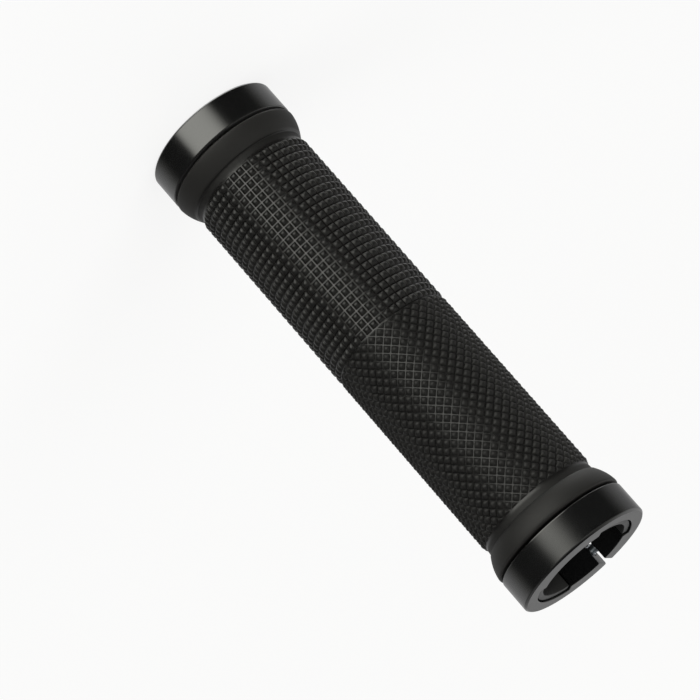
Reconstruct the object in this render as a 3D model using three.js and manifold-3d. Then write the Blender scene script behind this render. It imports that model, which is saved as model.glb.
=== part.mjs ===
// Lock-on handlebar grip: a hard core sleeve with dogs at both ends, a moulded rubber cover with two
// knurled zones, and a slit clamp ring with a cross screw at each end. Millimetres, +Z along the bar.
// The origin is the centre of the inboard ring's end face, on which the grip stands.
import * as THREE from "three";
import { mergeVertices } from "three/addons/utils/BufferGeometryUtils.js";
import Module from "manifold-3d";

const wasm = await Module();
wasm.setup();

// Driving dimensions, whole grip
const gripLength = 130;
const barDiameter = 22.2;
const barClearance = 0.1; // radial, bar to the rings' lands and to the sleeve
const touchGap = 0.3; // between pieces that seat on each other

// Core sleeve
const coreWall = 1.5;
const recessAngle = 90; // degrees, each of the two recesses in a ring that take the dogs
const dogSetback = 0.4; // from a ring's end face to the end of the dog inside it

// Clamp rings
const ringDiameter = 32.8;
const ringWidth = 7.8;
const ringEndChamfer = 0.45; // at the grip's end
const ringInnerChamfer = 0.3; // beside the rubber
const slitWidth = 1.7;
const slitAzimuth = 104.5; // degrees from +X, the same on both rings

// Clamp screws
const screwDiameter = 2.5;
const screwInset = 0.1; // how much nearer the bar than the middle of the ring's wall
const seatDepth = 1.85; // from the slit's wall to the floor of the head's pocket
const threadLength = 3.4; // past the slit, on the far side from the head
const headDiameter = 4.2;
const headHeight = 1.9;
const headChamfer = 0.4;
const hexAcrossFlats = 2;
const hexDepth = 1.2;

// Rubber cover
const coverSetback = 0.45; // from a ring's inner face to the rubber's end
const collarProud = 0.05; // how far the rubber stands out beyond the rings
const collarEdge = 0.35; // rounding at the rubber's end
const shoulderLength = 5.4; // from the rubber's end to the step
const shoulderCrown = 0.3; // how far the shoulder bulges beyond a straight cone
const stepHeight = 0.45; // from the shoulder's foot down to the plain band
const stepLength = 0.4;
const bandHeight = 0.15; // from the plain band down to the groove floors
const bandLength = 1.75;
const coverWall = 1.2; // under the grooves
const knurlHeight = 0.55; // from the groove floors to the tips
const gridColumns = 48;
const gridRows = 25;
const gridPitch = 1.95; // along the bar
const gridPhase = 6.6; // degrees, azimuth of a groove along the bar
const diamondColumns = 36;
const diamondRows = 39; // half pitches
const diamondPhase = 3.4; // degrees, azimuth of a crossing on the line between the zones
const zoneGroove = 0.2; // width of the groove between the zones
const halfTip = 0.5; // the tip of a cut diamond, as a share of the half pitch

// Roundness of turned pieces
const ringSegments = 72;
const tubeSegments = 48;
const screwSegments = 20;
const crownSteps = 4;
const filletSteps = 2;

// Derived sizes
const boreRadius = barDiameter / 2 + barClearance;
const coreRadius = boreRadius + coreWall;
const ringRadius = ringDiameter / 2;
const recessRadius = coreRadius + touchGap;
const coverBoreRadius = coreRadius + touchGap;
const dogAngle = recessAngle - 2 * THREE.MathUtils.radToDeg(touchGap / boreRadius);
const screwRadius = screwDiameter / 2;
const screwHoleRadius = screwRadius + touchGap;
const headRadius = headDiameter / 2;
const pocketRadius = headRadius + touchGap;
const screwOffset = (boreRadius + ringRadius) / 2 - screwInset; // from the bar's axis
const pocketFloor = slitWidth / 2 + seatDepth; // from the slit's middle
const threadEnd = slitWidth / 2 + threadLength;
const coverStart = ringWidth + coverSetback;
const coverEnd = gripLength - coverStart;
const knurlStart = coverStart + shoulderLength + stepLength + bandLength;
const zoneLine = knurlStart + gridRows * gridPitch;
const knurlEnd = gripLength - knurlStart;
const grooveRadius = coverBoreRadius + coverWall;
const tipRadius = grooveRadius + knurlHeight;
const bandRadius = grooveRadius + bandHeight;
const footRadius = bandRadius + stepHeight;
const collarRadius = ringRadius + collarProud;
const diamondStep = (knurlEnd - zoneLine) / diamondRows;
const past = 1; // how far a cutter runs past the faces it cuts
const sameCorner = 1e-4; // corners closer than this are one

// Closed mesh with shared corners and outward faces, ready to join or cut
function weld(geometry) {
  geometry.deleteAttribute("normal");
  geometry.deleteAttribute("uv");
  const merged = mergeVertices(geometry, sameCorner);
  const place = merged.getAttribute("position");
  const index = merged.getIndex().array;
  const kept = [];
  let volume = 0;
  const [a, b, c] = [new THREE.Vector3(), new THREE.Vector3(), new THREE.Vector3()];
  for (let i = 0; i < index.length; i += 3) {
    const [ia, ib, ic] = index.slice(i, i + 3);
    if (ia === ib || ib === ic || ic === ia) continue;
    kept.push(ia, ib, ic);
    a.fromBufferAttribute(place, ia);
    b.fromBufferAttribute(place, ib);
    c.fromBufferAttribute(place, ic);
    volume += a.dot(b.cross(c));
  }
  merged.setIndex(volume < 0 ? kept.reverse() : kept);
  return merged;
}

function solid(geometry) {
  const merged = weld(geometry);
  return new wasm.Manifold(
    new wasm.Mesh({
      numProp: 3,
      vertProperties: new Float32Array(merged.getAttribute("position").array),
      triVerts: new Uint32Array(merged.getIndex().array),
    }),
  );
}

function surface(manifold) {
  const mesh = manifold.getMesh();
  const geometry = new THREE.BufferGeometry();
  geometry.setAttribute("position", new THREE.BufferAttribute(mesh.vertProperties, 3));
  geometry.setIndex(new THREE.BufferAttribute(mesh.triVerts, 1));
  geometry.computeVertexNormals();
  return geometry;
}

// Turned body from (radius, height) pairs around a closed section
function turned(section, segments) {
  const points = [...section, section[0]].map(([radius, height]) => new THREE.Vector2(radius, height));
  return new THREE.LatheGeometry(points, segments);
}

// Turned body with its axis along Z
function turnedUp(section, segments) {
  return turned(section, segments).rotateX(Math.PI / 2);
}

// Pie slice along Z, centred on an azimuth in degrees
function slice(radius, middle, angle, low, high) {
  const from = THREE.MathUtils.degToRad(middle - angle / 2);
  const to = THREE.MathUtils.degToRad(middle + angle / 2);
  const outline = new THREE.Shape();
  outline.moveTo(0, 0);
  outline.lineTo(radius * Math.cos(from), radius * Math.sin(from));
  outline.absarc(0, 0, radius, from, to, false);
  outline.closePath();
  const extruded = new THREE.ExtrudeGeometry(outline, {
    depth: high - low,
    bevelEnabled: false,
    curveSegments: ringSegments / 4,
  });
  return extruded.translate(0, 0, low);
}

// Clamp ring with its slit at azimuth 0, from its end face at 0 up to its inner face
function clampRing() {
  const section = [
    [boreRadius, 0],
    [ringRadius - ringEndChamfer, 0],
    [ringRadius, ringEndChamfer],
    [ringRadius, ringWidth - ringInnerChamfer],
    [ringRadius - ringInnerChamfer, ringWidth],
    [boreRadius, ringWidth],
  ];
  let ring = solid(turnedUp(section, ringSegments));
  for (const side of [90, 270]) {
    ring = ring.subtract(solid(slice(recessRadius, side, recessAngle, -past, ringWidth + past)));
  }
  const slitReach = ringRadius + past;
  const slit = new THREE.BoxGeometry(slitReach, slitWidth, ringWidth + 2 * past);
  ring = ring.subtract(solid(slit.translate(slitReach / 2, 0, ringWidth / 2)));
  return ring.subtract(solid(screwHole().translate(screwOffset, 0, ringWidth / 2)));
}

// Hole for a screw along Y: the thread's side, the slit's middle at 0, then the head's pocket
function screwHole() {
  return turned(
    [
      [0, -threadEnd - touchGap],
      [screwHoleRadius, -threadEnd - touchGap],
      [screwHoleRadius, pocketFloor],
      [pocketRadius, pocketFloor],
      [pocketRadius, ringRadius + past],
      [0, ringRadius + past],
    ],
    screwSegments,
  );
}

// Socket head screw along Y, its head on the side of +Y
function clampScrew() {
  const seat = pocketFloor + touchGap;
  const crown = seat + headHeight;
  const body = solid(
    turned(
      [
        [0, -threadEnd],
        [screwRadius, -threadEnd],
        [screwRadius, seat],
        [headRadius, seat],
        [headRadius, crown - headChamfer],
        [headRadius - headChamfer, crown],
        [0, crown],
      ],
      screwSegments,
    ),
  );
  const hexRadius = hexAcrossFlats / 2 / Math.cos(Math.PI / 6);
  const socket = new THREE.CylinderGeometry(hexRadius, hexRadius, hexDepth + past, 6);
  return body.subtract(solid(socket.translate(0, crown + (past - hexDepth) / 2, 0)));
}

// Tube between the rings that runs on into them as two dogs at each end
function coreSleeve() {
  const body = ringWidth + touchGap;
  const section = [
    [boreRadius, dogSetback],
    [coreRadius, dogSetback],
    [coreRadius, gripLength - dogSetback],
    [boreRadius, gripLength - dogSetback],
  ];
  let sleeve = solid(turnedUp(section, tubeSegments));
  const openAngle = 180 - dogAngle;
  for (const side of [0, 180]) {
    for (const [low, high] of [[dogSetback - past, body], [gripLength - body, gripLength]]) {
      const cutter = slice(coreRadius + past, side, openAngle, low, high);
      sleeve = sleeve.subtract(solid(cutter));
    }
  }
  return sleeve;
}

// Shoulder of the rubber from its end to the band, as [distance from the rubber's end, radius]
function shoulderProfile() {
  const middle = (collarEdge + shoulderLength) / 2;
  const crown = new THREE.QuadraticBezierCurve(
    new THREE.Vector2(collarEdge, collarRadius),
    new THREE.Vector2(middle, (collarRadius + footRadius) / 2 + 2 * shoulderCrown),
    new THREE.Vector2(shoulderLength, footRadius),
  );
  const fillet = new THREE.QuadraticBezierCurve(
    new THREE.Vector2(shoulderLength, footRadius),
    new THREE.Vector2(shoulderLength + stepLength / 4, bandRadius),
    new THREE.Vector2(shoulderLength + stepLength, bandRadius),
  );
  return [
    new THREE.Vector2(0, collarRadius - collarEdge),
    ...crown.getPoints(crownSteps),
    ...fillet.getPoints(filletSteps).slice(1),
    new THREE.Vector2(shoulderLength + stepLength + bandLength, grooveRadius),
  ];
}

// Rubber cover, built ring by ring: a ring is a list of corner numbers in order of azimuth
function rubberCover() {
  const corners = [];
  const faces = [];
  const corner = (radius, azimuth, height) => {
    const angle = THREE.MathUtils.degToRad(azimuth);
    return corners.push([radius * Math.cos(angle), radius * Math.sin(angle), height]) - 1;
  };
  const ringOf = (count, phase, radius, height) =>
    Array.from({ length: count }, (_, k) => corner(radius, phase + (k * 360) / count, height));
  // Band of triangles between two rings, which may hold different counts
  const bridge = (low, high, lowPhase = 0, highPhase = 0) => {
    const lowAt = (i) => lowPhase + (i * 360) / low.length;
    const highAt = (j) => highPhase + (j * 360) / high.length;
    let i = 0;
    let j = 0;
    while (i < low.length || j < high.length) {
      const [a, b] = [low[i % low.length], high[j % high.length]];
      const lowNext = j === high.length || (i < low.length && lowAt(i + 1) <= highAt(j + 1));
      if (lowNext) faces.push(a, low[(i + 1) % low.length], b);
      else faces.push(a, high[(j + 1) % high.length], b);
      if (lowNext) i += 1;
      else j += 1;
    }
  };
  const pyramid = (around, radius, azimuth, height) => {
    const tip = corner(radius, azimuth, height);
    around.forEach((from, k) => faces.push(from, around[(k + 1) % around.length], tip));
  };

  // Lower shoulder
  const profile = shoulderProfile();
  const lower = profile.map((p) => ringOf(gridColumns, gridPhase, p.y, coverStart + p.x));
  lower.slice(1).forEach((ring, k) => bridge(lower[k], ring));

  // Square grid: one pyramid in each cell
  let below = lower[lower.length - 1];
  for (let row = 1; row <= gridRows; row += 1) {
    const above = ringOf(gridColumns, gridPhase, grooveRadius, knurlStart + row * gridPitch);
    for (let k = 0; k < gridColumns; k += 1) {
      const next = (k + 1) % gridColumns;
      const azimuth = gridPhase + ((k + 0.5) * 360) / gridColumns;
      const around = [below[k], below[next], above[next], above[k]];
      pyramid(around, tipRadius, azimuth, knurlStart + (row - 0.5) * gridPitch);
    }
    below = above;
  }

  // Diamonds: each ring of crossings is turned half a column from the one below
  const pitch = 360 / diamondColumns;
  const crossings = [];
  for (let row = 0; row <= diamondRows; row += 1) {
    const turn = diamondPhase + (row % 2) * (pitch / 2);
    const height = row === 0 ? zoneLine + zoneGroove : zoneLine + row * diamondStep;
    crossings.push(ringOf(diamondColumns, turn, grooveRadius, height));
  }
  bridge(below, crossings[0], gridPhase, diamondPhase);
  const at = (row, k) => crossings[row][(k + diamondColumns) % diamondColumns];
  for (let row = 0; row <= diamondRows; row += 1) {
    const odd = row % 2;
    for (let k = 0; k < diamondColumns; k += 1) {
      // The cell between crossings k and k + 1 of this ring; its other corners are in the next rings
      const azimuth = diamondPhase + (k + 0.5 + odd / 2) * pitch;
      const across = [at(row, k), at(row, k + 1)];
      const height = zoneLine + row * diamondStep;
      if (row === 0) {
        pyramid([...across, at(1, k)], tipRadius, azimuth, height + halfTip * diamondStep);
      } else if (row === diamondRows) {
        const around = [across[0], at(row - 1, k + odd), across[1]];
        pyramid(around, tipRadius, azimuth, height - halfTip * diamondStep);
      } else {
        const around = [across[0], at(row - 1, k + odd), across[1], at(row + 1, k + odd)];
        pyramid(around, tipRadius, azimuth, height);
      }
    }
  }

  // Upper shoulder, bore and end faces
  const topTurn = diamondPhase + (diamondRows % 2) * (pitch / 2);
  const upper = profile.map((p) => ringOf(gridColumns, gridPhase, p.y, coverEnd - p.x)).reverse();
  upper[0] = crossings[diamondRows];
  bridge(upper[0], upper[1], topTurn, gridPhase);
  upper.slice(2).forEach((ring, k) => bridge(upper[k + 1], ring));
  const boreTop = ringOf(gridColumns, gridPhase, coverBoreRadius, coverEnd);
  const boreBottom = ringOf(gridColumns, gridPhase, coverBoreRadius, coverStart);
  bridge(upper[upper.length - 1], boreTop);
  bridge(boreTop, boreBottom);
  bridge(boreBottom, lower[0]);

  const geometry = new THREE.BufferGeometry();
  geometry.setAttribute("position", new THREE.Float32BufferAttribute(corners.flat(), 3));
  geometry.setIndex(faces);
  return geometry;
}

const rubber = new THREE.MeshStandardMaterial({ color: 0x222221, roughness: 0.7, metalness: 0 });
const plastic = new THREE.MeshStandardMaterial({ color: 0x161616, roughness: 0.5, metalness: 0 });
const anodised = new THREE.MeshStandardMaterial({ color: 0x131315, roughness: 0.28, metalness: 0.8 });
const steel = new THREE.MeshStandardMaterial({ color: 0xc4c6c8, roughness: 0.3, metalness: 1 });

function piece(name, geometry, material) {
  const mesh = new THREE.Mesh(geometry, material);
  mesh.name = name;
  return mesh;
}

// Ring and screw of one end; the outboard pair is turned over, so its head stays on the same side
function clamp(name, height, turnedOver) {
  const group = new THREE.Group();
  const flip = new THREE.Matrix4().makeRotationX(turnedOver ? Math.PI : 0);
  const mirror = new THREE.Matrix4().makeScale(1, turnedOver ? -1 : 1, 1);
  const ring = weld(surface(clampRing()).applyMatrix4(mirror));
  const screw = weld(surface(clampScrew()).translate(screwOffset, 0, ringWidth / 2).applyMatrix4(mirror));
  group.add(piece(`${name}_clamp_ring`, ring, anodised), piece(`${name}_clamp_screw`, screw, steel));
  group.setRotationFromMatrix(flip);
  const holder = new THREE.Group();
  holder.add(group);
  holder.position.z = height;
  holder.rotation.z = THREE.MathUtils.degToRad(slitAzimuth);
  return holder;
}

const grip = new THREE.Group();
const core = piece("core_sleeve", surface(coreSleeve()), plastic);
core.rotation.z = THREE.MathUtils.degToRad(slitAzimuth);
grip.add(core);
grip.add(piece("rubber_sleeve", weld(rubberCover()), rubber));
grip.add(clamp("inboard", 0, false));
grip.add(clamp("outboard", gripLength, true));

export default grip;
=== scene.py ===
# %% [markdown]
# # A lock-on handlebar grip
# The grip is a hard core tube with a knurled rubber cover. A slit ring with a small cross screw
# clamps it to the bar at either end. Here it stands on its inboard ring, with the bar's axis along
# Z, so that everything turned on a lathe or repeated round the bar is simple to place.

# %% Load the frame
import math

import bmesh
import bpy
from mathutils import Matrix, Vector


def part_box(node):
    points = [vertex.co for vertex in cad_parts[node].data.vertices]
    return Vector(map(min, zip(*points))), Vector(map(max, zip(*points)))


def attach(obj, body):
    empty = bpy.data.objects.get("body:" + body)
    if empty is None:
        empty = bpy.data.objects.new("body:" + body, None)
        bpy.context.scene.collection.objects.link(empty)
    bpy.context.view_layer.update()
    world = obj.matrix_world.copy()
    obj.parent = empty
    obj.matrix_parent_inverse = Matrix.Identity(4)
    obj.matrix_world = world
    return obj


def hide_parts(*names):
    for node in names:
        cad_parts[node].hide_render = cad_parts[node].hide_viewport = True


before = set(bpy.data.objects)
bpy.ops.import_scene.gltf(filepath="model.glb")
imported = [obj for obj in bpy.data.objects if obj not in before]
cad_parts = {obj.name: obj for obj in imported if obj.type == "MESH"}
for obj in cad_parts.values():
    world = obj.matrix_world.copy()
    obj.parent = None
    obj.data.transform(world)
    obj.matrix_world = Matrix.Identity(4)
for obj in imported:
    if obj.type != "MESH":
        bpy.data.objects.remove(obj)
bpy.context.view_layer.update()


print("nodes:", sorted(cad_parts))

# %% [markdown]
# ## Sizes
# These are the sizes of the solids, in millimetres. A piece that is made again here keeps them, so
# it fills the same space and only gains what a solid for a machine leaves out: roundings, threads
# and grain. One size is let out a little: the dark joint between ring and rubber is 0.6 mm wide
# here.

# %% Sizes of the grip
MM = 0.001
GRIP_LENGTH = 130.0
BORE_RADIUS = 11.2
CORE_RADIUS = 12.7
RING_RADIUS = 16.4
RING_WIDTH = 7.8
SLIT_AZIMUTH = 104.5
TOUCH_GAP = 0.3
JOINT = 0.6
COVER_START = RING_WIDTH + JOINT
COVER_END = GRIP_LENGTH - COVER_START
KNURL_START = 15.8
KNURL_END = GRIP_LENGTH - KNURL_START
ZONE_LINE = 64.55
GROOVE_RADIUS = 14.2
print("rubber from", COVER_START, "to", COVER_END, "mm")
print("knurl from", KNURL_START, "to", KNURL_END, "mm")

# %% [markdown]
# ## Camera
# The camera is placed as a surveyor would do it: its distance, its height over the horizon and its
# roll were worked out from the outlines of the rings and of the rubber. The long lens keeps the
# two ends of the grip nearly the same size. The roll lays the standing grip across the picture,
# from upper left to lower right.

# %% Camera
CAMERA_DISTANCE = 716.0
CAMERA_ELEVATION = 17.31
CAMERA_ROLL = 48.88
CAMERA_YAW = -0.76
CAMERA_PITCH = -0.14
FOCAL_IN_FRAMES = 3271 / 700
SENSOR_WIDTH = 36.0

elevation = math.radians(CAMERA_ELEVATION)
roll = math.radians(CAMERA_ROLL)
back = Vector((0, -math.cos(elevation), math.sin(elevation)))
level = Vector((1, 0, 0))
upright = level.cross(-back)
image_right = upright * math.cos(roll) - level * math.sin(roll)
image_down = level * math.cos(roll) + upright * math.sin(roll)
yaw = Matrix.Rotation(math.radians(CAMERA_YAW), 3, image_down)
image_right = yaw @ image_right
pitch = Matrix.Rotation(math.radians(CAMERA_PITCH), 3, image_right)
looking = pitch @ (yaw @ -back)
image_down = pitch @ image_down

lens = bpy.data.cameras.new("camera")
lens.sensor_width = SENSOR_WIDTH
lens.lens = FOCAL_IN_FRAMES * SENSOR_WIDTH
lens.clip_start = 0.05
camera = bpy.data.objects.new("camera", lens)
bpy.context.scene.collection.objects.link(camera)
turn = Matrix((image_right, -image_down, -looking)).transposed()
place = (Vector((0, 0, GRIP_LENGTH / 2)) + back * CAMERA_DISTANCE) * MM
camera.matrix_world = Matrix.Translation(place) @ turn.to_4x4()
bpy.context.scene.camera = camera
print("camera at", [round(value, 3) for value in place], "m, lens", round(lens.lens, 1), "mm")

# %% [markdown]
# ## Nodes as sums
# Materials and Geometry Nodes are both built from small arithmetic. A thin class wraps a node's
# output, so that an expression such as `1 - mask` adds its Math node by itself, and one method
# adds any other node. It keeps the recipes below short enough to read.


# %% A small language for nodes
class Term:
    """The output of a node. Arithmetic on it adds Math nodes."""

    def __init__(self, sheet, socket):
        self.sheet = sheet
        self.socket = socket

    def __add__(self, other):
        return self.sheet.math("ADD", self, other)

    def __sub__(self, other):
        return self.sheet.math("SUBTRACT", self, other)

    def __rsub__(self, other):
        return self.sheet.math("SUBTRACT", other, self)

    def __mul__(self, other):
        return self.sheet.math("MULTIPLY", self, other)

    def __truediv__(self, other):
        return self.sheet.math("DIVIDE", self, other)

    def __neg__(self):
        return self.sheet.math("MULTIPLY", self, -1.0)

    __radd__ = __add__
    __rmul__ = __mul__


class Sheet:
    """A node tree to which nodes are added one line at a time."""

    def __init__(self, tree):
        self.tree = tree

    def fill(self, socket, value):
        """Sets a socket or links a Term to it. A list links several Terms to one socket."""
        for one in value if isinstance(value, list) else [value]:
            if isinstance(one, Term):
                self.tree.links.new(one.socket, socket)
            else:
                socket.default_value = one

    def add(self, kind, settings=None, sockets=None, out=0):
        """Adds any node: its type, its settings, what its sockets get, and the output wanted."""
        node = self.tree.nodes.new(kind)
        for key, value in (settings or {}).items():
            setattr(node, key, value)
        for key, value in (sockets or {}).items():
            self.fill(node.inputs[key], value)
        return Term(self, node.outputs[out]) if len(node.outputs) else None

    def math(self, operation, first, second=0.0):
        return self.add("ShaderNodeMath", {"operation": operation}, {0: first, 1: second})

    def smooth(self, value, low, high):
        """0 below low, 1 above high, with a soft step between them."""
        return self.add(
            "ShaderNodeMapRange",
            {"interpolation_type": "SMOOTHSTEP"},
            {"Value": value, "From Min": low, "From Max": high},
        )

    def distance(self, x, y):
        return self.math("SQRT", x * x + y * y)

    def apart(self, vector):
        node = self.add("ShaderNodeSeparateXYZ", None, {0: vector}).socket.node
        return [Term(self, socket) for socket in node.outputs]

    def join(self, x, y, z):
        return self.add("ShaderNodeCombineXYZ", None, {0: x, 1: y, 2: z})

    def noise(self, vector, scale, detail=2.0, roughness=0.5):
        sockets = {"Vector": vector, "Scale": scale, "Detail": detail, "Roughness": roughness}
        return self.add("ShaderNodeTexNoise", None, sockets)

    def blend(self, factor, first, second):
        """A colour between two colours. Their sockets come after those for numbers and vectors."""
        sockets = {0: factor, 6: first, 7: second}
        return self.add("ShaderNodeMix", {"data_type": "RGBA"}, sockets, out=2)


print("arithmetic on nodes is ready")

# %% [markdown]
# ## Materials
# All materials are worked out from the place on the object, so they need no pictures and no
# unwrapping. What varies is what varies on the real thing: a little of the colour, the roughness,
# and a bump far smaller than any shape that is modelled.


# %% Start a material
def grey(value, warmth=0.0):
    return (value * (1 + warmth), value, value * (1 - warmth), 1.0)


def new_material(name):
    """A material with an output and a Principled shader. Returns it with its sheet and shader."""
    material = bpy.data.materials.new(name)
    material.use_nodes = True
    sheet = Sheet(material.node_tree)
    shader = material.node_tree.nodes["Principled BSDF"]
    return material, sheet, shader


def bump(sheet, shader, height, strength, depth):
    """Feeds the shader's normal from a height between 0 and 1 that stands for depth millimetres."""
    sockets = {"Strength": strength, "Distance": depth * MM, "Height": height}
    sheet.fill(shader.inputs["Normal"], sheet.add("ShaderNodeBump", None, sockets))


def object_place(sheet):
    return sheet.add("ShaderNodeTexCoord", None, None, out="Object")


print("materials can start")

# %% [markdown]
# The rubber is a soft black compound from a blasted mould. It is nearly flat in colour, with a
# grain too fine to see as shapes. The parts of the mould that press the grooves are polished, so
# the grooves' floors are glossier than the rest and light up as a thin net where a soft box is
# mirrored. The tips of the knurl are a little glossier too, and the zone of squares more than the
# zone of diamonds. One mask for each comes from the distance to the bar's axis and from the
# height.

# %% Rubber
COLLAR_FROM = 14.8
TIPS_FROM = 14.35
rubber, sheet, shader = new_material("moulded_rubber")
place = object_place(sheet)
cloud = sheet.noise(place, 70.0, 3.0)
grain = sheet.noise(place, 5200.0, 2.0, 0.6)
east, north, height = sheet.apart(place)
radius = sheet.distance(east, north)
floors = 1 - sheet.smooth(radius, (GROOVE_RADIUS + 0.01) * MM, (GROOVE_RADIUS + 0.08) * MM)
collars = sheet.smooth(radius, COLLAR_FROM * MM, (COLLAR_FROM + 0.4) * MM)
tips = sheet.smooth(radius, TIPS_FROM * MM, (TIPS_FROM + 0.25) * MM) - collars
diamonds = sheet.smooth(height, (ZONE_LINE - 0.1) * MM, (ZONE_LINE + 0.1) * MM)
compound = sheet.blend(cloud, grey(0.0075, 0.04), grey(0.0105, 0.04))
sheet.fill(shader.inputs["Base Color"], sheet.blend(collars, compound, grey(0.0135, 0.04)))
polish = floors * (0.35 - diamonds * 0.09) + tips * (0.26 - diamonds * 0.2)
sheet.fill(shader.inputs["Roughness"], 0.5 + cloud * 0.08 + grain * 0.06 - polish)
sheet.fill(shader.inputs["Coat Weight"], floors * (0.42 - diamonds * 0.2))
shader.inputs["IOR"].default_value = 1.42
shader.inputs["Coat Roughness"].default_value = 0.12
bump(sheet, shader, grain, 0.35, 0.04)
print("rubber:", len(rubber.node_tree.nodes), "nodes")

# %% [markdown]
# The rings are turned from aluminium and anodised black. The oxide is clear and hard over a black
# dye, so its gloss is stronger than a paint's. That is a higher index of refraction and not a
# metallic shader. The tool leaves rings finer than a hair: a noise that only reads radius and
# height makes them on the cylinder and on the end faces alike. The end faces are faced off with a
# coarser finish, so they are rougher. Their colour is also painted paler, which is painted light
# that makes them read as lit.

# %% Black anodised aluminium
anodised, sheet, shader = new_material("black_anodised_aluminium")
place = object_place(sheet)
east, north, height = sheet.apart(place)
turning = sheet.noise(sheet.join(sheet.distance(east, north), height, 0.0), 9000.0, 3.0, 0.6)
cloud = sheet.noise(place, 160.0, 3.0)
facing = sheet.add("ShaderNodeTexCoord", None, None, out="Normal")
end_faces_painted_lit = sheet.smooth(sheet.math("ABSOLUTE", sheet.apart(facing)[2]), 0.9, 0.99)
dye = sheet.blend(cloud, grey(0.004, -0.03), grey(0.0065, -0.03))
# The end faces' paler grey is painted light. The oxide itself is as dark there as on the cylinder.
sheet.fill(shader.inputs["Base Color"], sheet.blend(end_faces_painted_lit, dye, grey(0.032)))
sheet.fill(shader.inputs["Roughness"], 0.13 + cloud * 0.06 + turning * 0.04 + end_faces_painted_lit * 0.16)
shader.inputs["IOR"].default_value = 1.77
bump(sheet, shader, turning, 0.12, 0.01)
print("anodised:", len(anodised.node_tree.nodes), "nodes")

# %% [markdown]
# The core is moulded from a filled nylon. It shows inside the bore, in the narrow gap beside the
# rubber, and as the ends of the dogs in the rings' recesses. Filled plastic has a faint
# orange-peel and dull spots.

# %% Hard plastic
plastic, sheet, shader = new_material("moulded_nylon")
place = object_place(sheet)
peel = sheet.noise(place, 1400.0, 3.0)
spots = sheet.noise(place, 300.0, 2.0)
sheet.fill(shader.inputs["Base Color"], sheet.blend(spots, grey(0.012), grey(0.018)))
sheet.fill(shader.inputs["Roughness"], 0.32 + spots * 0.14)
bump(sheet, shader, peel, 0.3, 0.03)
print("plastic:", len(plastic.node_tree.nodes), "nodes")

# %% [markdown]
# The screws are plated steel, with the cold tint of zinc. Fine streaks break up their mirror, and
# the plating is a little duller in clouds.

# %% Plated steel
steel, sheet, shader = new_material("plated_steel")
place = object_place(sheet)
east, north, height = sheet.apart(place)
streak = sheet.noise(sheet.join(east, north * 0.1, height), 6000.0, 2.0)
cloud = sheet.noise(place, 500.0, 2.0)
sheet.fill(shader.inputs["Base Color"], sheet.blend(cloud, grey(0.74, -0.06), grey(0.86, -0.06)))
sheet.fill(shader.inputs["Roughness"], 0.32 + streak * 0.12 + cloud * 0.08)
shader.inputs["Metallic"].default_value = 1.0
bump(sheet, shader, streak, 0.1, 0.01)
print("steel:", len(steel.node_tree.nodes), "nodes")

# %% [markdown]
# ## Shapes as lists
# A turned or lofted piece is a stack of rings of corners. Each helper below works in millimetres,
# with faces listed anticlockwise as seen from outside, and one function turns the lists into an
# object at the origin, in metres.


# %% Helpers for meshes
def polar(radius, azimuth, height):
    """A point from its distance to the bar's axis, its azimuth in degrees and its height."""
    angle = math.radians(azimuth)
    return Vector((radius * math.cos(angle), radius * math.sin(angle), height))


def loft(first, count, levels, closed=True):
    """Faces between levels that each hold count corners, numbered from first."""
    faces = []
    for level in range(levels - 1):
        low = first + level * count
        for k in range(count if closed else count - 1):
            following = (k + 1) % count
            faces.append((low + k, low + following, low + count + following, low + count + k))
    return faces


ALL_SMOOTH = 180.0


def crease(piece, sharp):
    """Shades smooth, but edges that turn by more than the sharp angle keep their crease."""
    piece.data.shade_smooth()
    piece.data.set_sharp_from_angle(angle=math.radians(sharp))


def new_piece(name, corners, faces, material, sharp=30.0):
    """An object at the origin, from corners in millimetres."""
    mesh = bpy.data.meshes.new(name)
    mesh.from_pydata([corner * MM for corner in corners], [], faces)
    piece = bpy.data.objects.new(name, mesh)
    bpy.context.scene.collection.objects.link(piece)
    piece.data.materials.append(material)
    crease(piece, sharp)
    return piece


def settle(piece):
    """Turns what the modifiers make into the piece's own plain mesh."""
    bpy.context.view_layer.update()
    evaluated = piece.evaluated_get(bpy.context.evaluated_depsgraph_get())
    made = bpy.data.meshes.new_from_object(evaluated)
    piece.modifiers.clear()
    old, piece.data = piece.data, made
    bpy.data.meshes.remove(old)
    return made


def report(piece):
    mesh = piece.data
    mesh.calc_loop_triangles()
    edges = bmesh.new()
    edges.from_mesh(mesh)
    open_edges = sum(1 for edge in edges.edges if not edge.is_manifold)
    edges.free()
    print(piece.name, len(mesh.loop_triangles), "triangles,", open_edges, "open edges")


print("helpers for meshes are ready")

# %% [markdown]
# ## The knurl
# The rubber's grip surface has two zones. On the inboard half, square blocks stand in rows along
# the bar. On the outboard half, diamonds stand corner to corner. Both are small truncated pyramids
# between grooves with a narrow flat floor, steep at the foot and flatter towards the tip, with
# their edges broken. All cells of a zone are the same shape, turned about the axis and shifted
# along it, so one cell is modelled, already bent to the cylinder, and Geometry Nodes put the
# copies in place. Neighbours then share their edges exactly, and the copies are merged.

# %% Sizes of the knurl
ZONE_SEAM = 0.05
GRID_COLUMNS, GRID_ROWS, GRID_PHASE = 48, 25, 6.6
GRID_PITCH = (ZONE_LINE - ZONE_SEAM - KNURL_START) / GRID_ROWS
DIAMOND_COLUMNS, DIAMOND_ROWS, DIAMOND_PHASE = 36, 39, 3.4
DIAMOND_STEP = (KNURL_END - ZONE_LINE) / DIAMOND_ROWS
KNURL_HEIGHT = 0.54
GROOVE_HALF = 0.11
FOOT_RUN, FOOT_RISE = 0.15, 0.3
BROW_RUN = 0.46
ARRIS, WIDEST_ARRIS = 0.14, 0.3  # a broken edge in millimetres, and at most as a share of a side
RIM_SPLITS = 3  # a cell's straight rim is split, so that its seam follows the cylinder
CUT_LIFT = 0.7  # cut diamonds at the ends of their zone are lower
print("diamond step", round(DIAMOND_STEP, 3), "mm")


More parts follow.
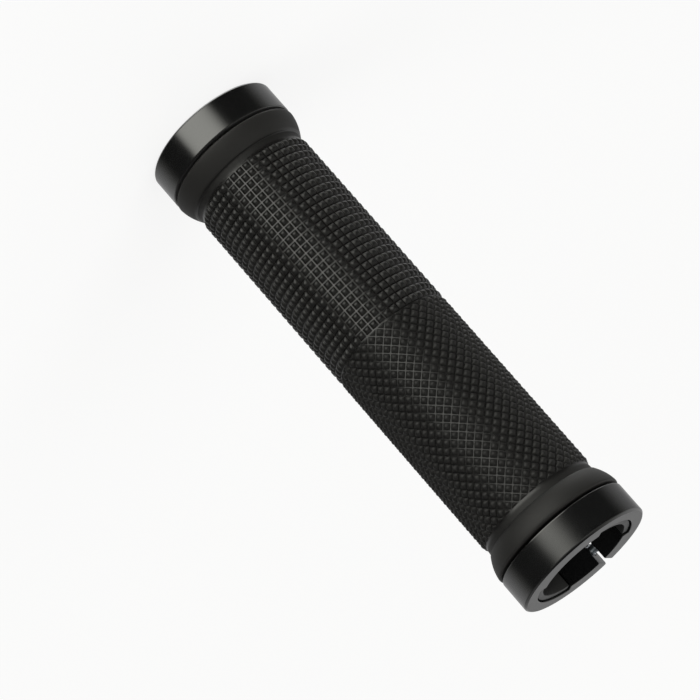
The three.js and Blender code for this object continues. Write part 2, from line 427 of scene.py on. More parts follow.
# %% One cell of the knurl
def knurl_cell(name, outline, lift):
    """A pyramid on a cell. Its outline is in millimetres round and along the bar, anticlockwise."""
    outline = [Vector(corner) for corner in outline]
    count = len(outline)
    sides = [(outline[k] - outline[(k + 1) % count]).length for k in range(count)]
    # The outline shrinks towards the middle of its inscribed circle, so all sides move in alike.
    if count == 3:
        weights = [sides[1], sides[2], sides[0]]
        middle = sum((c * w for c, w in zip(outline, weights)), Vector((0, 0))) / sum(weights)
    else:
        middle = sum(outline, Vector((0, 0))) / count
    area = sum(outline[k - 1].cross(outline[k]) for k in range(count)) / 2
    inner = 2 * area / sum(sides)
    rings = [
        (GROOVE_HALF, 0.0),
        (GROOVE_HALF + FOOT_RUN * lift, FOOT_RISE * lift),
        (GROOVE_HALF + (FOOT_RUN + BROW_RUN) * lift, KNURL_HEIGHT * lift),
    ]

    def bent(point, raised):
        return polar(GROOVE_RADIUS + raised, math.degrees(point.x / GROOVE_RADIUS), point.y)

    corners = [bent(corner, 0.0) for corner in outline]
    for inset, raised in rings:
        shrunk = [middle + (corner - middle) * (1 - inset / inner) for corner in outline]
        for k in range(count):
            for other in (shrunk[k - 1], shrunk[(k + 1) % count]):
                edge = other - shrunk[k]
                share = min(WIDEST_ARRIS, ARRIS / edge.length)
                corners.append(bent(shrunk[k] + edge * share, raised))
    faces = loft(count, 2 * count, len(rings))
    faces.append(tuple(range(len(corners) - 2 * count, len(corners))))
    for k in range(count):
        following = (k + 1) % count
        between = []
        if abs(outline[k].y - outline[following].y) < 1e-6:
            for step in range(1, RIM_SPLITS):
                between.append(len(corners))
                corners.append(bent(outline[k].lerp(outline[following], step / RIM_SPLITS), 0.0))
        faces.append((k, *between, following, count + 2 * following, count + 2 * k + 1))
        faces.append((k, count + 2 * k + 1, count + 2 * k))
    return new_piece(name, corners, faces, rubber, ALL_SMOOTH)


half_square = Vector((math.radians(180 / GRID_COLUMNS) * GROOVE_RADIUS, GRID_PITCH / 2))
half_diamond = Vector((math.radians(180 / DIAMOND_COLUMNS) * GROOVE_RADIUS, DIAMOND_STEP))
signs = ((-1, -1), (1, -1), (1, 1), (-1, 1))
square = knurl_cell("square_cell", [(half_square.x * a, half_square.y * b) for a, b in signs], 1.0)
around = ((-half_diamond.x, 0), (0, -half_diamond.y), (half_diamond.x, 0), (0, half_diamond.y))
diamond = knurl_cell("diamond_cell", around, 1.0)
first_half = knurl_cell("first_half_cell", (around[0], around[2], around[3]), CUT_LIFT)
last_half = knurl_cell("last_half_cell", (around[0], around[1], around[2]), CUT_LIFT)
cells = [square, diamond, first_half, last_half]
print("faces in each cell:", [len(cell.data.polygons) for cell in cells])

# %% [markdown]
# The tree takes a cell and sets it out in columns round the bar and rows along it. Odd rows can be
# turned by part of a column, which is what makes diamonds lock together. Point number `i` belongs
# to row `i // columns` and to column `i % columns`, which are a few Math nodes.


# %% Geometry Nodes: start and end a tree
def start_tree(name, kinds):
    """Returns the tree's sheet, and the Terms and the identifiers of its inputs by name."""
    tree = bpy.data.node_groups.new(name, "GeometryNodeTree")
    identifiers = {}
    for key, kind in kinds.items():
        kind = "NodeSocket" + kind
        socket = tree.interface.new_socket(name=key, in_out="INPUT", socket_type=kind)
        identifiers[key] = socket.identifier
    tree.interface.new_socket(name="Geometry", in_out="OUTPUT", socket_type="NodeSocketGeometry")
    sheet = Sheet(tree)
    group = sheet.add("NodeGroupInput").socket.node
    return sheet, {key: Term(sheet, group.outputs[key]) for key in kinds}, identifiers


def end_tree(sheet, geometry, material):
    sockets = {"Geometry": geometry, "Material": material}
    sheet.add("NodeGroupOutput", None, {0: sheet.add("GeometryNodeSetMaterial", None, sockets)})


def set_inputs(modifier, sheet, identifiers, values):
    modifier.node_group = sheet.tree
    for key, value in values.items():
        modifier[identifiers[key]] = value


print("trees can start")

# %% Geometry Nodes: set a cell out round the bar
SAME_CORNER = 0.002  # corners of neighbours that are closer than this become one


def rows_tree():
    kinds = {
        "Geometry": "Geometry",
        "Cell": "Object",
        "Columns": "Int",
        "Rows": "Int",
        "Pitch": "Float",
        "Start": "Float",
        "Phase": "Float",
        "Odd row turn": "Float",
        "Material": "Material",
    }
    sheet, given, identifiers = start_tree("rows_round_the_bar", kinds)
    index = sheet.add("GeometryNodeInputIndex")
    row = sheet.math("FLOOR", (index + 0.5) / given["Columns"])
    column = index - row * given["Columns"]
    odd = sheet.math("MODULO", row, 2.0)
    azimuth = given["Phase"] + column * math.tau / given["Columns"] + odd * given["Odd row turn"]
    height = given["Start"] + row * given["Pitch"]
    points = sheet.add(
        "GeometryNodePoints",
        None,
        {"Count": given["Columns"] * given["Rows"], "Position": sheet.join(0.0, 0.0, height)},
    )
    cell = sheet.add("GeometryNodeObjectInfo", None, {"Object": given["Cell"]}, out="Geometry")
    copies = sheet.add(
        "GeometryNodeInstanceOnPoints",
        None,
        {"Points": points, "Instance": cell, "Rotation": sheet.join(0.0, 0.0, azimuth)},
    )
    joined = sheet.add("GeometryNodeJoinGeometry", None, {0: [given["Geometry"], copies]})
    made = sheet.add("GeometryNodeRealizeInstances", None, {0: joined})
    sockets = {"Geometry": made, "Distance": SAME_CORNER * MM}
    merged = sheet.add("GeometryNodeMergeByDistance", None, sockets)
    end_tree(sheet, merged, given["Material"])
    return sheet, identifiers


rows, row_inputs = rows_tree()
print("inputs of the tree:", ", ".join(row_inputs))

# %% [markdown]
# Four copies of that modifier lay out the squares, the whole diamonds and the cut diamonds at both
# ends of their zone. The diamonds' first row of crossings lies on the line between the zones.

# %% Lay out the knurl
knurl = new_piece("knurl", [], [], rubber)
half_column = math.pi / DIAMOND_COLUMNS
first_azimuth = math.radians(DIAMOND_PHASE) + half_column
second_azimuth = first_azimuth + half_column
square_azimuth = math.radians(GRID_PHASE) + math.pi / GRID_COLUMNS
squares_start = KNURL_START + GRID_PITCH / 2
whole_rows, whole_start = DIAMOND_ROWS - 1, ZONE_LINE + DIAMOND_STEP
layouts = [  # cell, columns, rows, pitch, start, phase, odd row turn
    (square, GRID_COLUMNS, GRID_ROWS, GRID_PITCH, squares_start, square_azimuth, 0.0),
    (first_half, DIAMOND_COLUMNS, 1, DIAMOND_STEP, ZONE_LINE, first_azimuth, 0.0),
    (diamond, DIAMOND_COLUMNS, whole_rows, DIAMOND_STEP, whole_start, second_azimuth, half_column),
    (last_half, DIAMOND_COLUMNS, 1, DIAMOND_STEP, KNURL_END, second_azimuth, 0.0),
]
for cell, columns, count, pitch, start, phase, odd_turn in layouts:
    modifier = knurl.modifiers.new(cell.name, "NODES")
    settings = {
        "Cell": cell,
        "Columns": columns,
        "Rows": count,
        "Pitch": pitch * MM,
        "Start": start * MM,
        "Phase": phase,
        "Odd row turn": odd_turn,
        "Material": rubber,
    }
    set_inputs(modifier, rows, row_inputs, settings)
settle(knurl)
report(knurl)

# %% [markdown]
# ## The rubber cover
# The rest of the cover is a turned skin: the collar beside the ring, the crowned shoulder, a small
# fillet and a plain band down to the first groove. Its rings and the edges of the knurl have
# different numbers of corners, so they are zipped together by azimuth, one triangle at a time.

# %% Profile of the shoulder
COLLAR_RADIUS = 16.445
COLLAR_EDGE = 0.65
SHOULDER_LENGTH = 5.25
SHOULDER_CROWN = 0.3
FOOT_RADIUS = 14.8
BAND_RADIUS = 14.35
STEP_LENGTH = 0.4
STEP_LEAN = 0.1  # how far along the bar the fillet's curve leans at the shoulder's foot
BAND_END = KNURL_START - COVER_START
BAND_STOP, BAND_RISE = 0.25, 0.02  # the band ends this far before the knurl and above its groove
COVER_BORE = CORE_RADIUS + TOUCH_GAP
RIM_SUPPORT = 0.01  # a close second corner keeps the shading of the bore's rim straight
EDGE_STEPS, CROWN_STEPS = 6, 16


def bezier(a, b, c, steps):
    """Points on a curve from a to c that leans towards b."""
    points = []
    for k in range(steps + 1):
        t = k / steps
        points.append(a * (1 - t) ** 2 + b * (2 * t * (1 - t)) + c * t**2)
    return points


lip = Vector((0, COLLAR_RADIUS - COLLAR_EDGE))
edge = Vector((COLLAR_EDGE, COLLAR_RADIUS))
foot = Vector((SHOULDER_LENGTH, FOOT_RADIUS))
band = Vector((SHOULDER_LENGTH + STEP_LENGTH, BAND_RADIUS))
crown = Vector((edge.x + foot.x, edge.y + foot.y + 4 * SHOULDER_CROWN)) / 2
shoulder = [Vector((0, COVER_BORE)), Vector((0, COVER_BORE + RIM_SUPPORT))]
shoulder += bezier(lip, Vector((0, COLLAR_RADIUS)), edge, EDGE_STEPS)
shoulder += bezier(edge, crown, foot, CROWN_STEPS)[1:]
shoulder += bezier(foot, Vector((foot.x + STEP_LEAN, band.y)), band, EDGE_STEPS)[1:]
shoulder.append(Vector((BAND_END - BAND_STOP, GROOVE_RADIUS + BAND_RISE)))
print("points in the profile:", len(shoulder))


# %% Helpers for the zip
def zipped(low, high):
    """Triangles between two rings, each a list of (azimuth, corner number) in order of azimuth."""
    faces = []
    i = j = 0
    while i < len(low) or j < len(high):
        a, b = low[i % len(low)][1], high[j % len(high)][1]
        low_next = low[(i + 1) % len(low)][0] + 360 * ((i + 1) // len(low))
        high_next = high[(j + 1) % len(high)][0] + 360 * ((j + 1) // len(high))
        if j == len(high) or (i < len(low) and low_next <= high_next):
            faces.append((a, low[(i + 1) % len(low)][1], b))
            i += 1
        else:
            faces.append((a, high[(j + 1) % len(high)][1], b))
            j += 1
    return faces


def by_azimuth(corners, numbers):
    turned_to = [math.degrees(math.atan2(corners[n].y, corners[n].x)) % 360 for n in numbers]
    return sorted(zip(turned_to, numbers))


def knurl_edges(mesh, heights):
    """The corners on the open edges of the knurl: a list of their numbers for each height."""
    edges = bmesh.new()
    edges.from_mesh(mesh)
    loose = {corner.index for edge in edges.edges if edge.is_boundary for corner in edge.verts}
    edges.free()
    rims = [[] for _ in heights]
    for number in sorted(loose):
        off = [abs(mesh.vertices[number].co.z / MM - height) for height in heights]
        rims[off.index(min(off))].append(number)
    return rims


print("the zip is ready")

# %% Zip the skin to the knurl
SKIN_SEGMENTS = 192
COVER_CREASE = 40.0
corners = [vertex.co / MM for vertex in knurl.data.vertices]
faces = [tuple(polygon.vertices) for polygon in knurl.data.polygons]
rims = knurl_edges(knurl.data, (KNURL_START, ZONE_LINE - ZONE_SEAM, ZONE_LINE, KNURL_END))
print("corners on the rims:", [len(rim) for rim in rims])

skin_start = len(corners)
for point in shoulder:
    for k in range(SKIN_SEGMENTS):
        corners.append(polar(point.y, k * 360 / SKIN_SEGMENTS, COVER_START + point.x))
upper_start = len(corners)
for point in reversed(shoulder):
    for k in range(SKIN_SEGMENTS):
        corners.append(polar(point.y, k * 360 / SKIN_SEGMENTS, COVER_END - point.x))
faces += loft(skin_start, SKIN_SEGMENTS, len(shoulder))
faces += loft(upper_start, SKIN_SEGMENTS, len(shoulder))
for k in range(SKIN_SEGMENTS):
    following = (k + 1) % SKIN_SEGMENTS
    top = len(corners) - SKIN_SEGMENTS
    faces.append((top + k, top + following, skin_start + following, skin_start + k))

lower_rim = list(range(upper_start - SKIN_SEGMENTS, upper_start))
upper_rim = list(range(upper_start, upper_start + SKIN_SEGMENTS))
rings = [by_azimuth(corners, numbers) for numbers in (lower_rim, *rims, upper_rim)]
for low, high in ((0, 1), (2, 3), (4, 5)):
    faces += zipped(rings[low], rings[high])
rubber_cover = new_piece("rubber_cover", corners, faces, rubber, COVER_CREASE)
report(rubber_cover)
for temporary in [knurl, *cells]:
    bpy.data.objects.remove(temporary)

# %% [markdown]
# ## The core tube
# The core is a plain tube between the rings. Beyond them it runs on as two dogs at each end, which
# sit in the rings' recesses and stop the grip turning. A tube with parts cut away is easy to build
# from cells of a cylinder: each filled cell adds only the faces that no filled neighbour covers,
# so the shell is closed without any cutting. A Bevel modifier then breaks the edges.

# %% Core tube
DOG_SETBACK = 0.4
DOG_HALF_ANGLE = 43.46
CORE_BODY = RING_WIDTH + TOUCH_GAP
CORE_ROUND, CORE_ROUND_FROM = 0.18, 50.0  # width of the broken edges, and which edges get one
CORE_CREASE = 35.0
DOG_STEPS, SIDE_STEPS = 32, 34
heights = [DOG_SETBACK, CORE_BODY, GRIP_LENGTH - CORE_BODY, GRIP_LENGTH - DOG_SETBACK]
azimuths = []
for middle, half, steps in (
    (90, DOG_HALF_ANGLE, DOG_STEPS),
    (180, 90 - DOG_HALF_ANGLE, SIDE_STEPS),
):
    for repeat in (0, 180):
        azimuths += [middle + repeat - half + 2 * half * k / steps for k in range(steps)]
azimuths = sorted(value % 360 for value in azimuths)
count = len(azimuths)


def core_filled(column, storey):
    if storey not in (0, 1, 2):
        return False
    upper = azimuths[(column + 1) % count] + (360 if column % count == count - 1 else 0)
    middle = (azimuths[column % count] + upper) / 2
    from_dogs = min(abs(middle % 360 - 90), abs(middle % 360 - 270))
    return storey == 1 or from_dogs < DOG_HALF_ANGLE


def core_corner(column, level, outside):
    return (level * count + column % count) * 2 + outside


corners = [
    polar(radius, azimuth, height)
    for height in heights
    for azimuth in azimuths
    for radius in (BORE_RADIUS, CORE_RADIUS)
]
faces = []
for storey in range(3):
    for k in range(count):
        if not core_filled(k, storey):
            continue
        box = {
            (side, up, out): core_corner(k + side, storey + up, out)
            for side in (0, 1)
            for up in (0, 1)
            for out in (0, 1)
        }
        faces.append((box[0, 0, 1], box[1, 0, 1], box[1, 1, 1], box[0, 1, 1]))
        faces.append((box[0, 0, 0], box[0, 1, 0], box[1, 1, 0], box[1, 0, 0]))
        if not core_filled(k, storey - 1):
            faces.append((box[0, 0, 0], box[1, 0, 0], box[1, 0, 1], box[0, 0, 1]))
        if not core_filled(k, storey + 1):
            faces.append((box[0, 1, 0], box[0, 1, 1], box[1, 1, 1], box[1, 1, 0]))
        if not core_filled((k - 1) % count, storey):
            faces.append((box[0, 0, 0], box[0, 0, 1], box[0, 1, 1], box[0, 1, 0]))
        if not core_filled((k + 1) % count, storey):
            faces.append((box[1, 0, 0], box[1, 1, 0], box[1, 1, 1], box[1, 0, 1]))
slit_turn = Matrix.Rotation(math.radians(SLIT_AZIMUTH), 4, "Z")
core_tube = new_piece("core_tube", [slit_turn @ corner for corner in corners], faces, plastic)
edges = bmesh.new()
edges.from_mesh(core_tube.data)
bmesh.ops.delete(edges, geom=[v for v in edges.verts if not v.link_faces], context="VERTS")
edges.to_mesh(core_tube.data)
edges.free()
rounding = core_tube.modifiers.new("broken edges", "BEVEL")
rounding.width = CORE_ROUND * MM
rounding.segments = 2
rounding.limit_method = "ANGLE"
rounding.angle_limit = math.radians(CORE_ROUND_FROM)
settle(core_tube)
crease(core_tube, CORE_CREASE)
report(core_tube)

# %% [markdown]
# ## The clamp rings
# Seen along the bar, a ring is one outline: the outer circle, the slit, the lands that squeeze the
# bar and the two recesses. Lofting that outline through a stack of levels gives the chamfer at the
# end face and the small round beside the rubber for free, because each level only gets its own
# outer radius and its own easing of the inner edges. The corners of the outline carry small
# fillets, as the tool leaves them.

# %% Outline of a ring
SLIT_HALF = 0.85
RECESS_RADIUS = CORE_RADIUS + TOUCH_GAP
RECESS_HALF_ANGLE = 45.0
OUTLINE_FILLET = 0.22
OUTER_STEPS, RECESS_STEPS, LAND_STEPS = 200, 40, 20


def arc(radius, start, end, steps):
    """Points of an arc in the plane, both ends included, azimuths in degrees."""
    turn = (end - start) / steps
    return [polar(radius, start + turn * k, 0).to_2d() for k in range(steps + 1)]


def filleted(points, corners, radius, steps=8):
    """The closed outline with a fillet at each of the numbered corners."""
    result = []
    for k, point in enumerate(points):
        if k not in corners:
            result.append(point)
            continue
        before = (points[k - 1] - point).normalized()
        after = (points[(k + 1) % len(points)] - point).normalized()
        half = before.angle(after) / 2
        centre = point + (before + after).normalized() * radius / math.sin(half)
        start = (point + before * radius / math.tan(half) - centre).normalized()
        end = (point + after * radius / math.tan(half) - centre).normalized()
        result += [centre + start.slerp(end, step / steps) * radius for step in range(steps + 1)]
    return result


def ring_outline(outer, ease):
    """Anticlockwise outline, slit at azimuth 0. ease moves every edge but the outer one back."""
    slit = SLIT_HALF + ease
    land = BORE_RADIUS + ease
    recess = RECESS_RADIUS + ease
    half = RECESS_HALF_ANGLE + math.degrees(ease / RECESS_RADIUS)
    outer_gap = math.degrees(math.asin(slit / outer))
    land_gap = math.degrees(math.asin(slit / land))
    runs = [
        arc(outer, outer_gap, 360 - outer_gap, OUTER_STEPS),
        arc(land, 360 - land_gap, 270 + half, LAND_STEPS),
        arc(recess, 270 + half, 270 - half, RECESS_STEPS),
        arc(land, 270 - half, 90 + half, 2 * LAND_STEPS),
        arc(recess, 90 + half, 90 - half, RECESS_STEPS),
        arc(land, 90 - half, land_gap, LAND_STEPS),
    ]
    points = [point for run in runs for point in run]
    ends = []
    total = 0
    for run in runs:
        ends += [total, total + len(run) - 1]
        total += len(run)
    return filleted(points, ends, OUTLINE_FILLET)


print("corners in the outline:", len(ring_outline(RING_RADIUS, 0.0)))

# %% [markdown]
# The screw's hole and the pocket for its head are drilled with a Boolean, as a drill press would
# do it after the ring is turned.

# %% Levels of a ring, and its drill
END_CHAMFER = 0.45
# The chamfer's levels from the end face on: depth and cut in chamfers, and ease of the inner edges.
END_LEVELS = (
    (0.0, 1.05, 1.0),
    (0.1, 0.9, 0.4),
    (0.2, 0.775, 0.0),
    (0.82, 0.155, 0.0),
    (1.15, 0.0, 0.0),
)
INNER_ROUND = 0.3
INNER_STEPS = 6
WALL_SUPPORT = 0.06  # a level this far before the round keeps the wall's shading straight
EDGE_EASE = 0.12
SCREW_OFFSET = 13.7
SCREW_RADIUS = 1.25
HEAD_RADIUS = 2.08
POCKET_FLOOR = 2.7
THREAD_END = 4.25
PAST = 1.0
DRILL_POINT, DRILL_SEGMENTS = 0.5, 64
RING_CREASE = 18.0


def ring_levels(inboard):
    """(height, outer radius, ease) from the bottom up: end chamfer, then round by the rubber."""
    levels = []
    for depth, cut, ease in END_LEVELS:
        levels.append((depth * END_CHAMFER, RING_RADIUS - cut * END_CHAMFER, ease * EDGE_EASE))
    levels.append((RING_WIDTH - INNER_ROUND - WALL_SUPPORT, RING_RADIUS, 0.0))
    for step in range(INNER_STEPS + 1):
        angle = math.pi / 2 * step / INNER_STEPS
        height = RING_WIDTH - (1 - math.sin(angle)) * INNER_ROUND
        outer = RING_RADIUS - (1 - math.cos(angle)) * INNER_ROUND
        levels.append((height, outer, EDGE_EASE * max(0, step - INNER_STEPS + 2) / 2))
    if inboard:
        return levels
    return [(GRIP_LENGTH - height, outer, ease) for height, outer, ease in reversed(levels)]


def stack(section, segments):
    """Corners and faces of a turned body with a pole at both ends, axis along Z."""
    corners = [Vector((0, 0, section[0][1]))]
    for radius, height in section[1:-1]:
        corners += [polar(radius, 360 * k / segments, height) for k in range(segments)]
    corners.append(Vector((0, 0, section[-1][1])))
    faces = loft(1, segments, len(section) - 2)
    last = len(corners) - 1
    for k in range(segments):
        following = (k + 1) % segments
        faces.append((0, 1 + following, 1 + k))
        faces.append((last, last - segments + k, last - segments + following))
    return corners, faces


def screw_place(inboard):
    """Stands a shape made along Z across the slit, at the middle of a ring's width."""
    height = RING_WIDTH / 2 if inboard else GRIP_LENGTH - RING_WIDTH / 2
    lay_down = Matrix.Rotation(-math.pi / 2, 4, "X")
    return slit_turn @ Matrix.Translation((SCREW_OFFSET, 0, height)) @ lay_down


print("levels of a ring:", len(ring_levels(True)))


# %% Clamp rings
def clamp_ring(name, inboard):
    levels = ring_levels(inboard)
    outlines = [ring_outline(outer, ease) for _, outer, ease in levels]
    size = len(outlines[0])
    corners = []
    for (height, _, _), outline in zip(levels, outlines):
        corners += [slit_turn @ Vector((point.x, point.y, height)) for point in outline]
    faces = loft(0, size, len(levels))
    faces.append(tuple(reversed(range(size))))
    faces.append(tuple(range(len(corners) - size, len(corners))))
    ring = new_piece(name, corners, faces, anodised)

    hole = SCREW_RADIUS + TOUCH_GAP
    pocket = HEAD_RADIUS + TOUCH_GAP
    outside = RING_RADIUS + PAST
    drill_end = -THREAD_END - TOUCH_GAP
    section = [
        (0, drill_end - DRILL_POINT),
        (hole, drill_end),
        (hole, POCKET_FLOOR),
        (pocket, POCKET_FLOOR),
        (pocket, outside),
        (0, outside),
    ]
    drill_corners, drill_faces = stack(section, DRILL_SEGMENTS)
    placed = [screw_place(inboard) @ corner for corner in drill_corners]
    drill = new_piece(name + "_drill", placed, drill_faces, anodised)
    cut = ring.modifiers.new("drilled", "BOOLEAN")
    cut.operation = "DIFFERENCE"
    cut.solver = "EXACT"
    cut.object = drill
    settle(ring)
    bpy.data.objects.remove(drill)
    crease(ring, RING_CREASE)
    report(ring)
    return ring


inboard_ring = clamp_ring("inboard_ring", True)
outboard_ring = clamp_ring("outboard_ring", False)

# %% [markdown]
# ## The clamp screws
# Each is a small socket head screw. The head is turned, its hexagon socket is one more ring of the
# same stack, whose radius follows a hexagon, and the thread is a wave in the shank's radius. A
# thread is a rule and not a shape to draw by hand, so Geometry Nodes cut it: they move each corner
# of the shank inwards by a triangle wave of its height and its azimuth. The wave fades out over
# one pitch at both ends.

# %% Screw blank
SCREW_SEGMENTS = 48
THREAD_PITCH = 0.45
THREAD_DEPTH = 0.25
LEVELS_IN_A_PITCH = 8
TIP_RADIUS, TIP_CHAMFER, TIP_LENGTH = 0.85, 0.12, 0.2
NECK, THREAD_STOP = 0.05, 0.2  # below the seat, the last level of the shank and the thread's end
HEX_HALF, HEX_DEPTH = 1.0, 1.2
HEX_MOUTH, HEX_EDGE, HEX_POINT = 1.26, 0.1, 0.3
SEAT = POCKET_FLOOR + TOUCH_GAP
CROWN = SEAT + 1.9
SEAT_EDGE = 0.08
# The head's upper edge: how far in from its side and how far down from its crown.
HEAD_ROUND = ((0.0, 0.34), (0.05, 0.18), (0.16, 0.06), (0.34, 0.0))
SCREW_CREASE = 32.0


def hexagon(azimuth):
    """Distance from the middle of the socket to its wall."""
    return HEX_HALF / math.cos(math.radians(azimuth % 60 - 30))


def screw_blank():
    """Corners and faces of a screw without its thread: axis along Z, head up."""
    rings = [(TIP_RADIUS, -THREAD_END), (SCREW_RADIUS - TIP_CHAMFER, -THREAD_END + TIP_CHAMFER)]
    step = THREAD_PITCH / LEVELS_IN_A_PITCH
    height = -THREAD_END + TIP_LENGTH
    while height < SEAT - NECK:
        rings.append((SCREW_RADIUS, height))
        height += step
    rings += [(SCREW_RADIUS, SEAT), (HEAD_RADIUS - SEAT_EDGE, SEAT)]
    rings.append((HEAD_RADIUS, SEAT + SEAT_EDGE))
    rings += [(HEAD_RADIUS - inwards, CROWN - down) for inwards, down in HEAD_ROUND]
    rings.append((HEX_MOUTH, CROWN))
    corners = [Vector((0, 0, -THREAD_END))]
    azimuths = [360 * k / SCREW_SEGMENTS for k in range(SCREW_SEGMENTS)]
    for radius, height in rings:
        corners += [polar(radius, azimuth, height) for azimuth in azimuths]
    for height in (CROWN - HEX_EDGE, CROWN - HEX_DEPTH):
        corners += [polar(hexagon(azimuth), azimuth, height) for azimuth in azimuths]
    corners.append(Vector((0, 0, CROWN - HEX_DEPTH - HEX_POINT)))
    faces = loft(1, SCREW_SEGMENTS, len(rings) + 2)
    last = len(corners) - 1
    for k in range(SCREW_SEGMENTS):
        following = (k + 1) % SCREW_SEGMENTS
        faces.append((0, 1 + following, 1 + k))
        faces.append((last, last - SCREW_SEGMENTS + k, last - SCREW_SEGMENTS + following))
    return corners, faces


print("corners of a screw:", len(screw_blank()[0]))


# %% Geometry Nodes: cut the thread
WHOLE_TURNS = 64.0  # added turns keep the fraction's input above zero and change nothing else
ON_THE_AXIS = 0.0001  # smallest distance in metres that a corner is divided by


def thread_tree():
    kinds = {
        "Geometry": "Geometry",
        "Pitch": "Float",
        "Depth": "Float",
        "From": "Float",
        "To": "Float",
        "Material": "Material",
    }
    sheet, given, identifiers = start_tree("cut_thread", kinds)
    x, y, z = sheet.apart(sheet.add("GeometryNodeInputPosition"))
    radius = sheet.math("MAXIMUM", sheet.distance(x, y), ON_THE_AXIS)
    azimuth = sheet.math("ARCTAN2", y, x) * (1 / math.tau)
    turns = sheet.math("FRACT", z / given["Pitch"] - azimuth + WHOLE_TURNS)
    wave = sheet.math("ABSOLUTE", turns * 2.0 - 1.0)
    runs_in = sheet.smooth(z, given["From"], given["From"] + given["Pitch"])
    runs_out = 1 - sheet.smooth(z, given["To"] - given["Pitch"], given["To"])
    inward = -(wave * runs_in * runs_out * given["Depth"]) / radius
    sockets = {"Geometry": given["Geometry"], "Offset": sheet.join(x * inward, y * inward, 0.0)}
    moved = sheet.add("GeometryNodeSetPosition", None, sockets)
    made = sheet.add("GeometryNodeRealizeInstances", None, {0: moved})
    end_tree(sheet, made, given["Material"])
    return sheet, identifiers


thread, thread_inputs = thread_tree()
print("inputs of the tree:", ", ".join(thread_inputs))


# %% Clamp screws
def clamp_screw(name, inboard):
    corners, faces = screw_blank()
    screw = new_piece(name, corners, faces, steel)
    modifier = screw.modifiers.new("thread", "NODES")
    settings = {
        "Pitch": THREAD_PITCH * MM,
        "Depth": THREAD_DEPTH * MM,
        "From": -THREAD_END * MM,
        "To": (SEAT - THREAD_STOP) * MM,
        "Material": steel,
    }
    set_inputs(modifier, thread, thread_inputs, settings)
    settle(screw)
    lay = screw_place(inboard)
    lay.translation *= MM
    screw.data.transform(lay)
    crease(screw, SCREW_CREASE)
    report(screw)
    return screw


inboard_screw = clamp_screw("inboard_screw", True)
outboard_screw = clamp_screw("outboard_screw", False)

# %% [markdown]
# ## Floor and light
# The grip stands on a plain pale floor in a white studio. To the camera, floor and background are
# white, and the floor still takes the grip's soft shadow.

# %% Floor
FLOOR_HALF = 6.0
FLOOR_GLOW = 0.8
corners = [Vector((x, y, 0)) * FLOOR_HALF / MM for x, y in ((-1, -1), (1, -1), (1, 1), (-1, 1))]
paper, sheet, shader = new_material("studio_paper")
mottle = sheet.noise(object_place(sheet), 3.0, 2.0)
sheet.fill(shader.inputs["Base Color"], sheet.blend(mottle, grey(0.88), grey(0.91)))
shader.inputs["Roughness"].default_value = 0.9
glow = sheet.add("ShaderNodeEmission", None, {"Color": grey(1.0), "Strength": 1.0})
seen = sheet.add("ShaderNodeLightPath", None, None, out="Is Camera Ray")
sockets = {0: seen * FLOOR_GLOW, 1: Term(sheet, shader.outputs[0]), 2: glow}
mixed = sheet.add("ShaderNodeMixShader", None, sockets)
sheet.fill(sheet.tree.nodes["Material Output"].inputs["Surface"], mixed)
floor = new_piece("floor", corners, [(0, 1, 2, 3)], paper)
floor.visible_glossy = False
print("floor", 2 * FLOOR_HALF, "m wide")

# %% [markdown]
# What black, glossy pieces show is only what they reflect, so the surroundings matter more than
# the lamps. The world gives glossy rays a picture of a studio, worked out from their direction,
# and an even grey to the rest. The studio has
#
# - a wide soft box in front, with a weak strip over it,
# - a white backdrop behind, screened where a ring or collar would be too bright,
# - a fill at the side and a top light, which is at the picture's top and so lies low in the grip's
#   own axes, because the camera is rolled,
# - dim sides in between.
#
# `across` and `along` tell where a direction meets a wall in front of the grip, one unit away. What
# stands in front is a little yellow. Mirrors don't see the lamps, which only light the dull share.

# %% World
STUDIO_SIDES = 0.03
BACKDROP = 0.5
SCREEN_ABOVE, SCREEN_BETWEEN = 0.6, 0.5
SOFT_BOX, BOX_MIDDLE, BOX_HALVES = 3.1, (0.2, -0.95), (0.88, 0.75)
STRIP, STRIP_MIDDLE = 0.45, 0.1
SIDE_FILL = 0.3
TOP_LIGHT, TOP_AIM = 1.6, (-0.35, 0.27, -0.9)
EVEN_LIGHT = 0.55
YELLOW = (1.0, 1.0, 0.93, 1.0)

world = bpy.data.worlds.new("studio")
bpy.context.scene.world = world
world.use_nodes = True
world.node_tree.nodes.clear()
sheet = Sheet(world.node_tree)
x, y, z = sheet.apart(sheet.add("ShaderNodeTexCoord"))
ahead = sheet.math("MAXIMUM", -y, 0.05)
in_front = sheet.smooth(-y, 0.03, 0.12)
across, along = x / ahead, z / ahead
off_across = (across - BOX_MIDDLE[0]) / BOX_HALVES[0]
off_along = (along - BOX_MIDDLE[1]) / BOX_HALVES[1]
box = (1 - sheet.smooth(sheet.distance(off_across, off_along), 0.8, 1.1)) * in_front
strip = sheet.smooth(along, 0.25, 0.45) * (1 - sheet.smooth(along, 1.1, 1.6)) * in_front
strip = strip * (1 - sheet.smooth(sheet.math("ABSOLUTE", across - STRIP_MIDDLE), 0.7, 1.3))
top = sheet.smooth(x * TOP_AIM[0] + y * TOP_AIM[1] + z * TOP_AIM[2], 0.82, 0.95)
behind = sheet.smooth(y, -0.05, 0.6)
above = sheet.smooth(z, -0.15, 0.25)
between = sheet.smooth(z, -0.36, -0.1) * (1 - above)
lower_left = sheet.smooth(x, 0.1, 0.8)
upper_right = sheet.smooth(-x, 0.1, 0.7)
screened = above * lower_left * SCREEN_ABOVE + between * upper_right * SCREEN_BETWEEN
backdrop = behind * (1 - screened) * BACKDROP + above * upper_right * SIDE_FILL
studio = backdrop + box * SOFT_BOX + top * TOP_LIGHT + strip * STRIP + STUDIO_SIDES
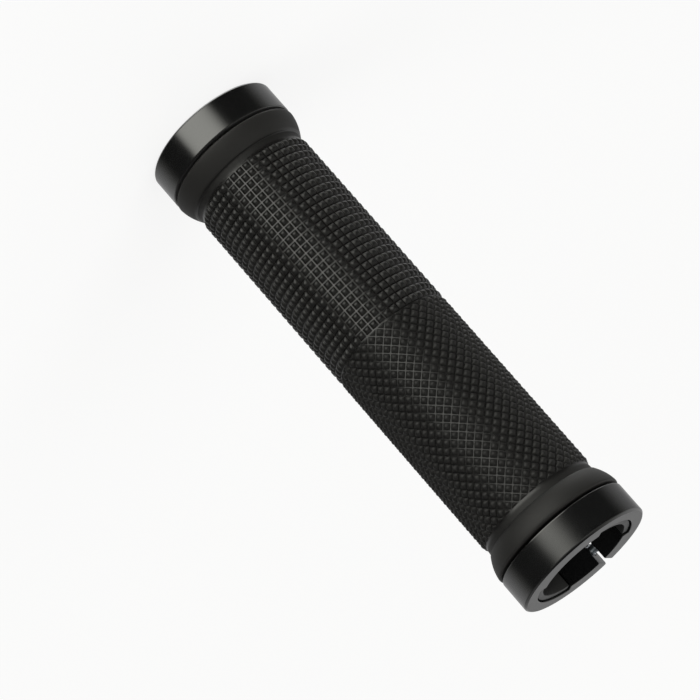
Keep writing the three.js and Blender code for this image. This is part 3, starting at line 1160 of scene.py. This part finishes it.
path = {
    name: sheet.add("ShaderNodeLightPath", None, None, out=name)
    for name in ("Is Camera Ray", "Is Glossy Ray", "Is Transmission Ray")
}
for_glossy = path["Is Glossy Ray"]
for_camera = sheet.math("MAXIMUM", path["Is Camera Ray"], path["Is Transmission Ray"])
light = EVEN_LIGHT * (1 - for_glossy) * (1 - for_camera) + studio * for_glossy + for_camera
tint = sheet.blend(sheet.math("MAXIMUM", for_camera, behind), YELLOW, grey(1.0))
background = sheet.add("ShaderNodeBackground", None, {"Color": tint, "Strength": light})
sheet.add("ShaderNodeOutputWorld", None, {"Surface": background})
world.cycles.sampling_method = "NONE"
print("world:", len(world.node_tree.nodes), "nodes")

# %% Lamps
LAMP_SIZE = 0.9


def soft_lamp(name, spot, power):
    """A square lamp in metres that looks at the middle of the grip."""
    lamp = bpy.data.lights.new(name, "AREA")
    lamp.shape = "SQUARE"
    lamp.size = LAMP_SIZE
    lamp.energy = power
    holder = bpy.data.objects.new(name, lamp)
    bpy.context.scene.collection.objects.link(holder)
    spot = Vector(spot)
    aim = (Vector((0, 0, GRIP_LENGTH / 2 * MM)) - spot).to_track_quat("-Z", "Y")
    holder.matrix_world = Matrix.Translation(spot) @ aim.to_matrix().to_4x4()
    holder.visible_glossy = False
    return holder


lamps = [
    soft_lamp("key", (-0.7, -0.9, 1.1), 7.0),
    soft_lamp("fill", (1.0, -0.6, 0.8), 5.0),
    soft_lamp("rim", (0.1, 1.2, 0.9), 4.0),
]
bpy.context.scene.view_settings.view_transform = "Standard"
print("lamps:", [lamp.name for lamp in lamps])

# %% [markdown]
# ## Put the pieces on the body
# Each new piece rides on the one body and is measured against the box of the solid it stands for.
# That solid is then hidden.
# Each new piece rides on the one body, names its finish, and says which solid it stands for.

# %% Ride, measure and hide
pieces = [
    (rubber_cover, "rubber_sleeve", "grip_rubber"),
    (core_tube, "core_sleeve", "hard_plastic"),
    (inboard_ring, "inboard_clamp_ring", "black_anodised"),
    (outboard_ring, "outboard_clamp_ring", "black_anodised"),
    (inboard_screw, "inboard_clamp_screw", "bright_steel"),
    (outboard_screw, "outboard_clamp_screw", "bright_steel"),
]
for piece, node, finish in pieces:
    low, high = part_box(node)
    spots = [vertex.co for vertex in piece.data.vertices]
    over = max(
        max(low[axis] - min(spot[axis] for spot in spots) for axis in range(3)),
        max(max(spot[axis] for spot in spots) - high[axis] for axis in range(3)),
    )
    print(piece.name, "stands out of its solid's box by", round(over / MM, 3), "mm")
    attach(piece, "root")
    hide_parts(node)
